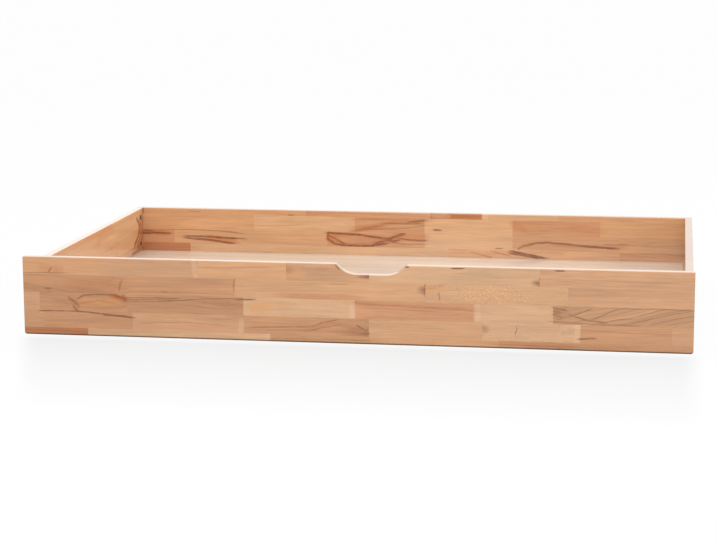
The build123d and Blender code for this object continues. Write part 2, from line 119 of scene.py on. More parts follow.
# The figure drawn on a row of a board, row 0 being every row, in the same millimetres as the rows.
# A stroke is its colour, half its width, its strength and the points it runs through. A wedge is a
# dark corner at a joint: where it starts, its length (to the left if negative), half its height and
# its strength.
# Most strokes are the wood's own figure; those marked below are painted shade.
FRONT_STROKES = {
    1: [("dark", 1.0, 0.45, (-750, 155), (-658, 156)), ("dark", 1.8, 0.50, (-689, 157), (-683, 166)),
        ("red", 2.2, 0.55, (-680, 155), (-668, 160)), ("red", 9.0, 0.30, (-702, 165), (-666, 163)),
        # The dark stroke from (-31, 189) to (-25, 182) is painted shade at the left corner of the handle
        # scoop.
        ("amber", 11.0, 0.40, (-136, 176), (-110, 166)), ("dark", 1.6, 0.60, (-31, 189), (-25, 182)),
        ("amber", 7.0, 0.25, (-330, 165), (-150, 162)), ("dark", 1.7, 0.95, (118, 188), (131, 188)),
        ("dark", 1.5, 0.90, (229, 188), (250, 188)), ("dark", 1.5, 0.80, (456, 188), (469, 188)),
        ("amber", 18.0, 0.30, (-735, 174), (-600, 176)), ("dark", 0.8, 0.28, (-330, 176), (-190, 180)),
        ("dark", 0.8, 0.22, (480, 170), (700, 166)), ("pale", 5.0, 0.30, (-350, 155), (-350, 189)),
        ("wedge", 44, 165, -34, 7, 0.85), ("wedge", 418, 160, -22, 10, 0.75),
        ("wedge", -142, 176, 26, 14, 0.30), ("dark", 1.0, 0.60, (417, 152), (418, 170))],
    2: [("dark", 1.6, 0.45, (-260, 150), (-260, 128)), ("dark", 1.6, 0.50, (-699, 120), (-688, 120)),
        ("red", 2.2, 0.50, (-612, 113), (-604, 122)), ("red", 2.2, 0.45, (-600, 122), (-590, 132)),
        ("red", 2.2, 0.45, (-570, 127), (-562, 139)), ("red", 2.0, 0.50, (-548, 132), (-540, 145)),
        ("dark", 2.2, 0.35, (-524, 122), (-518, 141)), ("red", 13.0, 0.28, (-625, 127), (-528, 131)),
        ("dark", 1.2, 0.50, (-429, 118), (-418, 118)),
        ("dark", 0.8, 0.30, (-500, 116), (-380, 118), (-280, 117)),
        ("dark", 1.0, 0.35, (-39, 146), (-8, 147)), ("dark", 1.6, 0.45, (198, 131), (200, 119)),
        ("red", 6.0, 0.35, (-135, 118), (5, 115)), ("wedge", 168, 138, -20, 13, 0.65),
        ("dark", 1.3, 0.70, (167, 128), (167, 148)), ("amber", 6.0, 0.45, (172, 146), (190, 142)),
        ("red", 4.0, 0.30, (175, 144), (205, 148))],
    3: [("dark", 1.6, 0.60, (-619, 98), (-608, 106), (-581, 109), (-540, 109), (-520, 105)),
        ("red", 6.0, 0.95, (-542, 107), (-516, 101)), ("dark", 3.4, 0.60, (-535, 107), (-515, 101)),
        ("dark", 2.6, 0.55, (-516, 108), (-514, 98)), ("dark", 3.0, 0.50, (-640, 98), (-630, 92)),
        ("dark", 3.0, 0.45, (-629, 90), (-622, 82)), ("dark", 2.6, 0.60, (-633, 80), (-626, 71)),
        ("red", 6.0, 0.25, (-638, 94), (-624, 84), (-631, 73)),
        ("amber", 9.0, 0.45, (-600, 90), (-535, 92)),
        ("red", 1.6, 0.50, (-612, 88), (-570, 94), (-535, 88)),
        ("red", 1.4, 0.40, (-600, 80), (-550, 78)),
        ("dark", 1.0, 0.60, (-507, 104), (-417, 104), (-390, 105)),
        ("dark", 0.9, 0.55, (-507, 99), (-440, 100), (-395, 101)),
        ("dark", 1.0, 0.50, (-507, 94), (-451, 95), (-400, 99), (-330, 105), (-250, 108)),
        ("dark", 2.0, 0.70, (-252, 106), (-219, 107)), ("amber", 9.0, 0.65, (-214, 88), (-186, 92)),
        ("amber", 6.0, 0.35, (-196, 99), (-150, 97)), ("pale", 5.0, 0.30, (5, 74), (5, 108)),
        ("dark", 1.2, 0.28, (16, 105), (120, 101), (262, 96)), ("dark", 0.9, 0.22, (40, 96), (200, 90)),
        ("red", 4.0, 0.30, (15, 104), (262, 98)), ("pale", 5.0, 0.25, (284, 76), (284, 104)),
        ("dark", 1.4, 0.65, (448, 107), (473, 102)), ("dark", 1.2, 0.50, (449, 91), (466, 86)),
        ("dark", 1.1, 0.45, (449, 98), (464, 97)),
        ("dark", 1.3, 0.50, (459, 81), (487, 89), (511, 98), (528, 105)),
        ("dark", 1.6, 0.55, (487, 91), (521, 81), (556, 77)),
        ("dark", 1.1, 0.45, (531, 83), (559, 94), (576, 104), (589, 108)),
        ("dark", 1.1, 0.45, (556, 75), (583, 83), (617, 87)),
        ("dark", 1.0, 0.45, (589, 110), (637, 108), (671, 110), (747, 108)),
        ("dark", 1.0, 0.42, (637, 95), (671, 106), (691, 109)),
        ("dark", 1.0, 0.45, (621, 77), (658, 87), (705, 99), (739, 105)),
        ("dark", 1.0, 0.38, (660, 76), (700, 86), (747, 96)), ("dark", 0.9, 0.35, (700, 76), (747, 86)),
        ("dark", 1.4, 0.40, (449, 76), (520, 73), (620, 72)), ("wedge", 448, 96, 40, 14, 0.35)],
    4: [("dark", 1.5, 0.75, (-709, 68), (-675, 69), (-630, 69), (-595, 67), (-554, 63)),
        ("dark", 2.3, 0.75, (-560, 63), (-528, 61), (-497, 58)),
        ("dark", 1.4, 0.42, (-215, 44), (-140, 47), (-91, 48), (-57, 60), (-29, 66)),
        ("dark", 1.0, 0.32, (-200, 38), (-90, 41), (-20, 56)),
        ("dark", 1.6, 0.60, (18, 54), (30, 46), (41, 38)), ("wedge", 43, 40, -92, 17, 0.45),
        ("wedge", 43, 37, -42, 11, 0.65), ("red", 4.0, 0.35, (-90, 42), (-45, 58), (10, 50)),
        ("dark", 2.0, 0.70, (508, 39), (536, 42)), ("dark", 1.2, 0.60, (367, 47), (368, 59)),
        ("dark", 0.9, 0.28, (-480, 44), (-380, 51), (-290, 46)),
        ("dark", 0.9, 0.25, (520, 58), (690, 54)), ("wedge", 294, 55, 20, 13, 0.45),
        ("pale", 5.0, 0.30, (500, 34), (500, 66)), ("pale", 5.0, 0.25, (-246, 34), (-246, 58))],
    5: [("dark", 0.9, 0.35, (-744, 24), (-610, 22)), ("dark", 1.0, 0.30, (-170, 20), (30, 22)),
        ("dark", 1.0, 0.28, (350, 22), (580, 20)), ("pale", 5.0, 0.30, (-186, 16), (-186, 28)),
        ("red", 4.0, 0.35, (340, 24), (600, 22))],
}
BACK_STROKES = {
    1: [("dark", 1.5, 0.55, (-323, 158), (-312, 158)), ("dark", 1.2, 0.35, (-602, 164), (-575, 163)),
        ("pale", 6.0, 0.35, (206, 158), (206, 170)), ("pale", 6.0, 0.35, (70, 164), (104, 164)),
        # The dark line at -729 is the joint with the left side, deepened by painted shade in the corner.
        ("dark", 2.0, 0.55, (-729, 60), (-729, 170))],
    2: [("dark", 2.4, 0.45, (-60, 141), (-10, 142), (29, 143)), ("dark", 2.2, 0.60, (4, 145), (43, 151)),
        ("dark", 3.0, 0.35, (-143, 120), (-80, 132)), ("red", 7.0, 0.40, (-140, 124), (-70, 134)),
        ("red", 6.0, 0.35, (-40, 146), (40, 150)), ("dark", 1.4, 0.32, (-140, 150), (-60, 152)),
        ("dark", 1.4, 0.35, (-120, 122), (-20, 128), (42, 136)),
        ("dark", 2.2, 0.75, (70, 126), (86, 126)), ("red", 7.0, 0.35, (282, 146), (310, 132)),
        ("red", 9.0, 0.25, (440, 140), (508, 132)), ("dark", 0.9, 0.25, (-410, 128), (-300, 132))],
    3: [("dark", 2.4, 0.90, (-729, 101), (-696, 103), (-660, 102)),
        ("red", 7.0, 0.65, (-729, 105), (-670, 102)), ("dark", 1.4, 0.60, (-729, 107), (-700, 108)),
        ("dark", 1.1, 0.45, (-727, 110), (-599, 113), (-508, 112)),
        ("dark", 2.2, 0.80, (-604, 95), (-538, 94), (-458, 91)),
        ("dark", 2.4, 0.80, (-605, 90), (-549, 86), (-508, 82), (-478, 78)),
        ("dark", 1.6, 0.50, (-508, 112), (-457, 106)), ("red", 7.0, 0.70, (-545, 91), (-480, 85)),
        ("red", 5.0, 0.80, (-215, 110), (-215, 94), (-193, 85), (-148, 80), (-99, 82), (-59, 90),
         (-30, 102), (-12, 113)),
        ("dark", 2.2, 0.85, (-216, 112), (-216, 94), (-200, 84), (-170, 79), (-130, 78), (-99, 79),
         (-59, 86)), ("dark", 2.2, 0.85, (-216, 112), (-173, 111), (-123, 108), (-79, 102), (-49, 98)),
        ("dark", 1.6, 0.70, (-210, 104), (-190, 92), (-170, 84)),
        ("red", 6.0, 0.75, (-208, 106), (-188, 90)),
        ("red", 5.0, 0.60, (-200, 108), (-150, 109), (-100, 104), (-60, 100)),
        ("dark", 3.4, 0.70, (-88, 84), (-59, 95), (-18, 113)),
        ("dark", 2.6, 0.65, (-76, 101), (-40, 92), (-25, 96)), ("red", 8.0, 0.60, (-80, 92), (-30, 98)),
        ("dark", 2.2, 0.70, (-21, 100), (9, 97), (44, 96)),
        ("red", 8.0, 0.40, (-30, 108), (0, 106), (42, 106)),
        ("dark", 1.4, 0.45, (-40, 89), (0, 86), (44, 87)),
        ("dark", 2.6, 0.60, (298, 80), (308, 88), (330, 92)),
        ("dark", 2.2, 0.75, (325, 93), (350, 97), (376, 98), (425, 95), (470, 92)),
        ("dark", 2.6, 0.85, (465, 92), (510, 89), (552, 86)), ("red", 4.0, 0.50, (400, 92), (552, 90)),
        ("dark", 1.4, 0.60, (236, 79), (251, 80)), ("dark", 1.2, 0.40, (523, 97), (552, 96), (571, 98)),
        ("dark", 1.0, 0.30, (571, 98), (640, 94), (729, 98)), ("red", 4.0, 0.40, (540, 92), (575, 97)),
        ("red", 3.0, 0.30, (320, 94), (376, 100), (430, 97))],
    4: [("dark", 2.6, 0.90, (278, 73), (318, 66), (366, 57)),
        ("dark", 2.2, 0.85, (278, 67), (327, 60), (350, 56)), ("red", 5.0, 0.45, (280, 68), (340, 60)),
        ("red", 1.6, 0.80, (174, 67), (199, 61), (224, 56)), ("red", 1.6, 0.80, (229, 71), (268, 62)),
        ("red", 3.0, 0.40, (-597, 66), (-729, 67))],
}
LEFT_STROKES = {
    0: [("dark", 4.5, 0.85, (397, 148), (414, 137), (422, 122), (411, 104), (393, 94), (374, 85),
         (365, 77)), ("dark", 3.0, 0.85, (450, 142), (450, 117), (442, 94)),
        # The wide dark spots from 430 to 436 are painted shadow round the bores of the two cam fittings.
        ("dark", 3.5, 0.75, (350, 60), (417, 61), (444, 62)), ("dark", 7.0, 0.90, (430, 147), (436, 147)),
        ("dark", 7.0, 0.90, (430, 76), (436, 76)),
        ("dark", 3.2, 0.75, (430, 136), (438, 118), (432, 100), (414, 86), (395, 72)),
        ("dark", 4.5, 0.80, (446, 92), (425, 78), (400, 66)),
        ("red", 18.0, 0.80, (430, 126), (424, 94), (396, 74)), ("red", 9.0, 0.50, (450, 68), (360, 62)),
        ("dark", 0.9, 0.25, (-200, 92), (0, 98), (150, 94)), ("red", 8.0, 0.35, (60, 148), (165, 150)),
        # The dark line at 455 is the joint with the back board, deepened by painted shade in the corner.
        ("dark", 3.4, 0.80, (455, 40), (455, 168)), ("red", 9.0, 0.60, (446, 150), (448, 70)),
        ("dark", 3.0, 0.55, (436, 150), (446, 140), (450, 128))],
}
RIGHT_STROKES = {
    2: [("dark", 1.4, 0.45, (-330, 121), (-190, 124), (-80, 120))],
    3: [("red", 5.0, 0.55, (-230, 96), (-170, 104), (-90, 104), (-20, 92)),
        ("dark", 1.6, 0.60, (-235, 94), (-180, 107), (-90, 107), (-10, 90)),
        ("dark", 1.4, 0.55, (-225, 88), (-140, 80), (-60, 82), (10, 92))],
    4: [("dark", 1.8, 0.55, (150, 60), (240, 58), (330, 50)), ("wedge", 200, 52, -40, 10, 0.45)],
}
COLOURS = {"dark": (112, 58, 22), "red": (190, 110, 60), "amber": (222, 158, 98), "pale": (234, 198, 162)}
COLOURS_IN_ORDER = ("pale", "amber", "red", "dark")


def linear(colour):
    """Linear RGBA of an sRGB colour given as 0 to 255."""
    channels = []
    for value in colour:
        c = value / 255
        channels.append(c / 12.92 if c <= 0.04045 else ((c + 0.055) / 1.055) ** 2.4)
    return (*channels, 1.0)


# ---- building node materials ------------------------------------------------------------------------
class Tree:
    """Short names for adding shader nodes. Every method returns the new node's output socket."""

    def __init__(self, tree):
        self.tree = tree

    def feed(self, socket, value):
        if isinstance(value, bpy.types.NodeSocket):
            self.tree.links.new(value, socket)
        elif value is not None:
            socket.default_value = value

    def node(self, kind, output=0, inputs=None, **settings):
        made = self.tree.nodes.new(kind)
        for key, value in settings.items():
            setattr(made, key, value)
        for key, value in (inputs or {}).items():
            self.feed(made.inputs[key], value)
        return made.outputs[output]

    def math(self, operation, a, b=None, c=None):
        return self.node("ShaderNodeMath", inputs={0: a, 1: b, 2: c}, operation=operation)

    def vector(self, operation, a, b=None, output=0):
        return self.node("ShaderNodeVectorMath", output=output, inputs={0: a, 1: b}, operation=operation)

    def split(self, vector, index):
        return self.node("ShaderNodeSeparateXYZ", output=index, inputs={0: vector})

    def join(self, x, y, z):
        return self.node("ShaderNodeCombineXYZ", inputs={0: x, 1: y, 2: z})

    def attribute(self, name, output):
        return self.node("ShaderNodeAttribute", output=output, attribute_name=name)

    def noise(self, vector, stretch, detail=2.0, roughness=0.5, distortion=0.0, colour=False):
        """Noise with its own number of features per metre along each axis."""
        place = self.vector("MULTIPLY", vector, stretch)
        settings = {"Vector": place, "Scale": 1.0, "Detail": detail, "Roughness": roughness,
                    "Distortion": distortion}
        return self.node("ShaderNodeTexNoise", output=1 if colour else 0, inputs=settings)

    def spread(self, value, low, high, to_low=0.0, to_high=1.0, smooth=True):
        """value from low..high to to_low..to_high, held at the ends."""
        kind = "SMOOTHSTEP" if smooth else "LINEAR"
        settings = {"Value": value, "From Min": low, "From Max": high, "To Min": to_low, "To Max": to_high}
        return self.node("ShaderNodeMapRange", inputs=settings, interpolation_type=kind)

    def mix(self, factor, a, b, blend="MIX"):
        """a and b are colours."""
        made = self.tree.nodes.new("ShaderNodeMix")
        made.data_type = "RGBA"
        made.blend_type = blend
        self.feed(made.inputs[0], factor)
        self.feed(made.inputs[6], a)
        self.feed(made.inputs[7], b)
        return made.outputs[2]

    def vary(self, value, noise, depth):
        """value plus depth times how far a noise is from its middle."""
        return self.math("MULTIPLY_ADD", self.math("SUBTRACT", noise, 0.5), depth, value)

    def bump(self, height, distance, strength):
        settings = {"Height": height, "Distance": distance, "Strength": strength}
        return self.node("ShaderNodeBump", inputs=settings)


def material(name):
    """A new node material: (material, its Tree, its Principled node)."""
    made = bpy.data.materials.new(name)
    made.use_nodes = True
    return made, Tree(made.node_tree), made.node_tree.nodes["Principled BSDF"]


def scaled(t, colour, factor):
    """colour times factor."""
    grey = t.node("ShaderNodeCombineColor", inputs={0: factor, 1: factor, 2: factor})
    return t.mix(1.0, colour, grey, "MULTIPLY")


# ---- beech -------------------------------------------------------------------------------------------
# Sizes are in metres, depths are shares of the brightness.
RING_SPACING = 0.0036
RING_WANDER = 0.020
RING_DEPTH = 0.055
BAND_DEPTH = 0.34
FIBRE_DEPTH = 0.52
STREAK_DEPTH = 0.34
CLOUD_DEPTH = 0.34
FLECK_DEPTH = 0.13
MOTTLE_DEPTH = 0.90
HEARTWOOD = (142, 92, 58)
# Painted light on the beech: shade on faces that look down, a sheen on faces that look up.
PAINTED_UNDERSIDE_SHADE = (92, 66, 48)
PAINTED_TOP_SHEEN = (240, 220, 202)
EVERYWHERE = -9.0           # a depth in the board that every point is past
CUT_TOLERANCE = 1e-7
WELD_DISTANCE = 1e-6
SHARP_EDGE = 35             # degrees between two faces that meet in a visible edge


def stroke_mask(t, place, half_width, strength, points):
    """How strongly a stroke through the points covers a place: one flat oval for each segment."""
    overlap, spread = 1.24, 1.15
    total = 0.0
    for start, end in zip(points, points[1:]):
        start, end = Vector(start) * MM, Vector(end) * MM
        reach = (end - start).length / 2 * overlap + half_width * MM * 0.8
        tilt = Vector((1, 0)).angle_signed(end - start)
        middle = (start + end) / 2
        settings = {"Vector": place, "Location": (*middle, 0.0), "Rotation": (0.0, 0.0, -tilt),
                    "Scale": (reach, half_width * MM * spread, 1.0)}
        local = t.node("ShaderNodeMapping", inputs=settings, vector_type="TEXTURE")
        oval = t.vector("LENGTH", t.vector("MULTIPLY", local, local), output=1)
        total = t.math("MAXIMUM", total, t.spread(oval, 1.75, 0.35, 0.0, strength))
    return total


def wedge_mask(t, place, along, height, length, half_height, strength):
    """A dark corner that is strongest at a joint and fades away from it on one side only."""
    settings = {"Vector": place, "Location": (along * MM, height * MM, 0.0),
                "Scale": (length * MM, half_height * MM, 1.0)}
    local = t.node("ShaderNodeMapping", inputs=settings, vector_type="TEXTURE")
    radius = t.vector("LENGTH", local, output=1)
    side = t.math("GREATER_THAN", t.split(local, 0), 0.0)
    return t.math("MULTIPLY", side, t.spread(radius, 1.1, 0.15, 0.0, strength))


def drawn_figure(t, board, colour, strokes, from_depth):
    """The colour with the strokes drawn on it, each kind in its own colour and a little ragged."""
    reached = t.math("GREATER_THAN", t.split(board, 2), from_depth)
    flat = t.vector("MULTIPLY", board, (1.0, 1.0, 0.0))
    wander = t.noise(board, (16.0, 60.0, 60.0), detail=3.0, colour=True)
    wander = t.vector("SUBTRACT", wander, (0.5, 0.5, 0.5))
    bent = t.vector("ADD", flat, t.vector("MULTIPLY", wander, (0.012, 0.0042, 0.0)))
    ragged = t.spread(t.noise(board, (55.0, 300.0, 300.0), detail=3.0), 0.32, 0.60, 0.62, 1.0)
    for name in COLOURS_IN_ORDER:
        total = 0.0
        for kind, *traits in strokes:
            if kind == name:
                half_width, strength, *points = traits
                total = t.math("MAXIMUM", total, stroke_mask(t, bent, half_width, strength, points))
            if kind == "wedge" and name == "dark":
                total = t.math("MAXIMUM", total, wedge_mask(t, flat, *traits))
        if total != 0.0:
            drawn = t.math("MULTIPLY", t.math("MULTIPLY", total, ragged), reached)
            colour = t.mix(drawn, colour, linear(COLOURS[name]))
    return colour


def growth_rings(t, grain):
    """(the dark ring lines, the broad bands that follow them), round a pith outside the stave."""
    sway = t.noise(grain, (3.0, 14.0, 14.0), detail=2.0)
    across = t.vector("LENGTH", t.vector("MULTIPLY", grain, (0.0, 1.0, 1.0)), output=1)
    ring = t.math("MULTIPLY_ADD", sway, RING_WANDER, across)
    wave = t.math("SINE", t.math("MULTIPLY", ring, FULL_TURN / RING_SPACING))
    ring_lines = t.math("POWER", t.math("MULTIPLY_ADD", wave, 0.5, 0.5), 3.0)
    along = t.math("MULTIPLY", t.split(grain, 0), 0.02)
    bands = t.noise(t.join(along, ring, 0.0), (1.0, 170.0, 1.0), detail=3.0)
    return ring_lines, bands


def ray_flecks(t, grain):
    """The short dark flecks of beech."""
    place = t.vector("MULTIPLY", grain, (190.0, 620.0, 620.0))
    cells = t.node("ShaderNodeTexVoronoi", inputs={"Vector": place, "Scale": 1.0})
    return t.spread(cells, 0.34, 0.10)


def ray_mottle(t, grain):
    """The bright mottle, in patches, of a stave cut across its rays."""
    mottle = t.noise(grain, (260.0, 520.0, 520.0), detail=1.0)
    patch = t.spread(t.noise(grain, (14.0, 40.0, 40.0), detail=1.0), 0.38, 0.60)
    return t.math("MULTIPLY", t.math("SUBTRACT", mottle, 0.5), patch)


def heartwood(t, grain, colour, heart):
    """The colour with soft heartwood clouds and the darker contour lines inside them."""
    field = t.noise(grain, (2.6, 26.0, 26.0), detail=4.0, roughness=0.55, distortion=0.8)
    zone = t.spread(t.math("MULTIPLY_ADD", heart, 0.35, field), 0.58, 0.86)
    contour = t.spread(t.math("SINE", t.math("MULTIPLY", field, 95.0)), 0.72, 1.0)
    zone_line = t.math("MULTIPLY", t.math("MULTIPLY", contour, zone), 0.45)
    return t.mix(t.math("MULTIPLY_ADD", zone, 0.30, zone_line), colour, linear(HEARTWOOD))


def end_grain_and_painted_light(t, grain, colour, end, painted_sheen_share):
    """The colour with porous end grain, painted shade on faces that look down and a painted sheen on faces
    that look up.
    """
    pores = t.noise(grain, (500.0, 700.0, 700.0), detail=2.0)
    colour = t.mix(end, colour, scaled(t, colour, t.spread(pores, 0.35, 0.65, 0.55, 0.80)))
    up = t.split(t.node("ShaderNodeTexCoord", output=1), 2)
    # Painted shade on the faces that look down.
    colour = t.mix(t.spread(up, -0.10, -0.60, 0.0, 0.80), colour, linear(PAINTED_UNDERSIDE_SHADE))
    # Painted sheen on the faces that look up, as strong as the board's share.
    return t.mix(t.spread(up, 0.50, 0.95, 0.0, painted_sheen_share), colour, linear(PAINTED_TOP_SHEEN))


def beech_material(name, along_axis, strokes, painted_sheen_share, from_depth=EVERYWHERE):
    """Oiled heartwood beech, coloured stave by stave from the board's attributes."""
    made, t, surface = material(name)
    grain = t.attribute("grain", 1)
    traits = t.attribute("traits", 1)
    heart, fleck, lines = (t.split(traits, index) for index in range(3))
    fibre = t.noise(grain, (14.0, 900.0, 900.0), detail=3.0, roughness=0.6)
    streak = t.noise(grain, (5.0, 150.0, 150.0), detail=3.0, roughness=0.6)
    cloud = t.noise(grain, (4.0, 18.0, 18.0), detail=3.0, distortion=0.4)
    ring_lines, bands = growth_rings(t, grain)
    flecks = ray_flecks(t, grain)

    shade = t.vary(1.0, fibre, FIBRE_DEPTH)
    shade = t.vary(shade, streak, STREAK_DEPTH)
    shade = t.vary(shade, cloud, CLOUD_DEPTH)
    shade = t.math("SUBTRACT", shade, t.math("MULTIPLY", t.math("MULTIPLY", ring_lines, lines), RING_DEPTH))
    banded = t.math("MULTIPLY", t.math("SUBTRACT", bands, 0.5), lines)
    shade = t.math("MULTIPLY_ADD", banded, BAND_DEPTH, shade)
    shade = t.math("SUBTRACT", shade, t.math("MULTIPLY", t.math("MULTIPLY", flecks, fleck), FLECK_DEPTH))
    mottled = t.spread(fleck, 0.5, 1.0, 0.0, MOTTLE_DEPTH)
    shade = t.math("MULTIPLY_ADD", ray_mottle(t, grain), mottled, shade)

    facing = t.math("ABSOLUTE", t.split(t.node("ShaderNodeTexCoord", output=1), along_axis))
    end = t.spread(facing, 0.30, 0.85)
    colour = scaled(t, t.attribute("tone", 0), shade)
    colour = heartwood(t, grain, colour, heart)
    colour = drawn_figure(t, t.attribute("board", 1), colour, strokes, from_depth)
    t.feed(surface.inputs["Base Color"], end_grain_and_painted_light(t, grain, colour, end, painted_sheen_share))

    rough = t.vary(0.40, streak, 0.20)
    t.feed(surface.inputs["Roughness"], t.math("MULTIPLY_ADD", end, 0.22, rough))
    surface.inputs["Specular IOR Level"].default_value = 0.2
    surface.inputs["Coat Weight"].default_value = 1.0
    surface.inputs["Coat Roughness"].default_value = 0.12
    height = t.math("MULTIPLY_ADD", ring_lines, -0.35, fibre)
    height = t.math("MULTIPLY_ADD", flecks, -0.5, height)
    t.feed(surface.inputs["Normal"], t.bump(height, 0.00012, 0.5))
    return made


def stave_at(rows, along, height):
    """(row number, stave number, kind) of the stave that holds a point, in millimetres."""
    for row_number, (low, staves) in enumerate(rows):
        if height > low:
            break
    for stave_number, (end, kind) in enumerate(staves):
        if along < end:
            break
    return row_number, stave_number, kind


def stave_frame(board_number, row_number, stave_number, angle):
    """(where a stave was cut from its log, as a matrix from the board's frame; its light; its warmth)."""
    draw = random.Random(1000 * board_number + 50 * row_number + stave_number)
    pith = Vector((draw.uniform(-40, 40), draw.uniform(-0.05, 0.05), draw.uniform(0.03, 0.11)))
    if draw.random() < 0.5:
        pith.z = -pith.z
    turn = Matrix.Rotation(radians(angle + draw.uniform(-0.8, 0.8)), 4, "Z")
    roll = Matrix.Rotation(radians(draw.uniform(-1.2, 1.2)), 4, "Y")
    light = draw.uniform(0.97, 1.03)
    warmth = draw.uniform(-0.012, 0.012)
    return Matrix.Translation(pith) @ turn @ roll, light, warmth


def cut(mesh, faces, point, normal):
    """Cuts some of the mesh's faces along a plane."""
    edges = dict.fromkeys(edge for face in faces for edge in face.edges)
    verts = dict.fromkeys(vert for face in faces for vert in face.verts)
    geometry = [*verts, *edges, *faces]
    bmesh.ops.bisect_plane(mesh, geom=geometry, dist=CUT_TOLERANCE, plane_co=point, plane_no=normal)


def cut_joints(mesh, rows, along_axis):
    """Cuts the mesh along every joint between staves, so that each face belongs to one stave."""
    for low, _ in rows[:-1]:
        cut(mesh, mesh.faces[:], (0, 0, low * MM), (0, 0, 1))
    normal = Vector((0, 0, 0))
    normal[along_axis] = 1
    upper = END
    for low, staves in rows:
        for end, _ in staves[:-1]:
            row_faces = [face for face in mesh.faces if low * MM < face.calc_center_median().z < upper * MM]
            cut(mesh, row_faces, normal * end * MM, normal)
        upper = low


def stave_mesh(node, along_axis, rows):
    """A copy of the board's CAD mesh, cut along its joints and shaded smooth up to its edges."""
    data = NODES[node].data.copy()
    data.name = f"{node}_staves"
    if "custom_normal" in data.attributes:
        data.attributes.remove(data.attributes["custom_normal"])
    mesh = bmesh.new()
    mesh.from_mesh(data)
    bmesh.ops.remove_doubles(mesh, verts=mesh.verts, dist=WELD_DISTANCE)
    cut_joints(mesh, rows, along_axis)
    mesh.to_mesh(data)
    mesh.free()
    for face in data.polygons:
        face.use_smooth = True
    data.set_sharp_from_angle(angle=radians(SHARP_EDGE))
    return data


def stave_of(face, along_axis, rows):
    """(row number, stave number, kind) of the stave that a face belongs to."""
    return stave_at(rows, face.center[along_axis] / MM, face.center.z / MM)


def describe_staves(data, number, along_axis, rows, shade):
    """Gives each stave its colour, its traits and its own place in a log, as mesh attributes."""
    data.attributes.new("tone", "FLOAT_COLOR", "FACE")
    data.attributes.new("traits", "FLOAT_VECTOR", "FACE")
    data.attributes.new("grain", "FLOAT_VECTOR", "CORNER")
    data.attributes.new("board", "FLOAT_VECTOR", "CORNER")
    tone, traits = data.attributes["tone"].data, data.attributes["traits"].data
    grain, board = data.attributes["grain"].data, data.attributes["board"].data
    logs = {}
    for face in data.polygons:
        row, stave, kind = stave_of(face, along_axis, rows)
        colour, heart, fleck, lines, angle = KINDS[kind]
        if (row, stave) not in logs:
            logs[row, stave] = stave_frame(number, row, stave, angle)
        log, light, warmth = logs[row, stave]
        red, green, blue, _ = linear(colour)
        # The board's shade is painted light: it makes the whole board lighter or darker for how the light
        # falls on it.
        light *= shade
        tone[face.index].color = (red * light * (1 + warmth), green * light, blue * light * (1 - warmth), 1)
        traits[face.index].vector = (heart, fleck, lines)
        for corner in face.loop_indices:
            at = data.vertices[data.loops[corner].vertex_index].co
            flat = Vector((at[along_axis], at.z, at[1 - along_axis]))
            board[corner].vector = flat
            grain[corner].vector = log @ (flat - Vector((0, 0.1, 0)))


def give_beech(data, node, along_axis, rows, strokes, painted_sheen_share):
    """One beech for each row of staves, or one for all where the figure runs through every row."""
    data.materials.clear()
    if 0 in strokes:
        middle = (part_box(node)[0][0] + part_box(node)[1][0]) / 2
        data.materials.append(beech_material(f"beech_{node}", along_axis, strokes[0], painted_sheen_share, middle))
        return
    for row in range(1, len(rows) + 1):
        drawn = strokes.get(row, [])
        data.materials.append(beech_material(f"beech_{node}_{row}", along_axis, drawn, painted_sheen_share))
    for face in data.polygons:
        face.material_index = stave_of(face, along_axis, rows)[0]


def stave_board(node, number, along_axis, rows, strokes, shade, painted_sheen_share):
    """The board's CAD mesh, cut into its staves, with each one's colour and grain. Its shade is painted
    light: the whole board made lighter or darker for how the light falls on it.
    """
    data = stave_mesh(node, along_axis, rows)
    give_beech(data, node, along_axis, rows, strokes, painted_sheen_share)
    describe_staves(data, number, along_axis, rows, shade)
    piece = bpy.data.objects.new(f"{node}_beech", data)
    bpy.context.scene.collection.objects.link(piece)
    weighted = piece.modifiers.new("even_faces", "WEIGHTED_NORMAL")
    weighted.keep_sharp = True
    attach(piece, "box")
    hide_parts(node)
    return piece


# ---- the other materials --------------------------------------------------------------------------------
VENEER_PAIR = 0.004         # one light and one dark ply, in metres
PLAIN_STRETCH = (130.0, 1100.0)     # growth lines and fibres across a batten, in features per metre
LONG_STRETCH = (2.5, 20.0)          # the same along it


def plywood_material():
    """Lacquered birch plywood: a quiet rotary-cut face veneer, and plies on the edges."""
    made, t, surface = material("birch_plywood")
    place = t.node("ShaderNodeTexCoord", output=3)
    wander = t.noise(place, (1.2, 5.0, 5.0), detail=3.0, distortion=0.5)
    rise = t.math("MULTIPLY_ADD", wander, 0.16, t.split(place, 1))
    peeled = t.join(t.math("MULTIPLY", t.split(place, 0), 0.5), rise, 0.0)
    figure = t.noise(peeled, (1.0, 34.0, 1.0), detail=4.0)
    fibre = t.noise(place, (16.0, 420.0, 420.0), detail=3.0)
    colour = t.mix(t.spread(figure, 0.30, 0.72), linear((227, 215, 198)), linear((218, 203, 184)))
    colour = scaled(t, colour, t.vary(1.0, fibre, 0.08))
    level = t.math("FRACT", t.math("MULTIPLY", t.split(place, 2), 1 / VENEER_PAIR))
    plies = t.mix(t.spread(level, 0.45, 0.55), linear((214, 180, 138)), linear((172, 128, 84)))
    up = t.math("ABSOLUTE", t.split(t.node("ShaderNodeTexCoord", output=1), 2))
    t.feed(surface.inputs["Base Color"], t.mix(t.spread(up, 0.7, 0.5), colour, plies))
    t.feed(surface.inputs["Roughness"], t.spread(fibre, 0.3, 0.7, 0.18, 0.26))
    surface.inputs["Coat Weight"].default_value = 0.4
    surface.inputs["Coat Roughness"].default_value = 0.12
    t.feed(surface.inputs["Normal"], t.bump(fibre, 0.0001, 0.35))
    return made


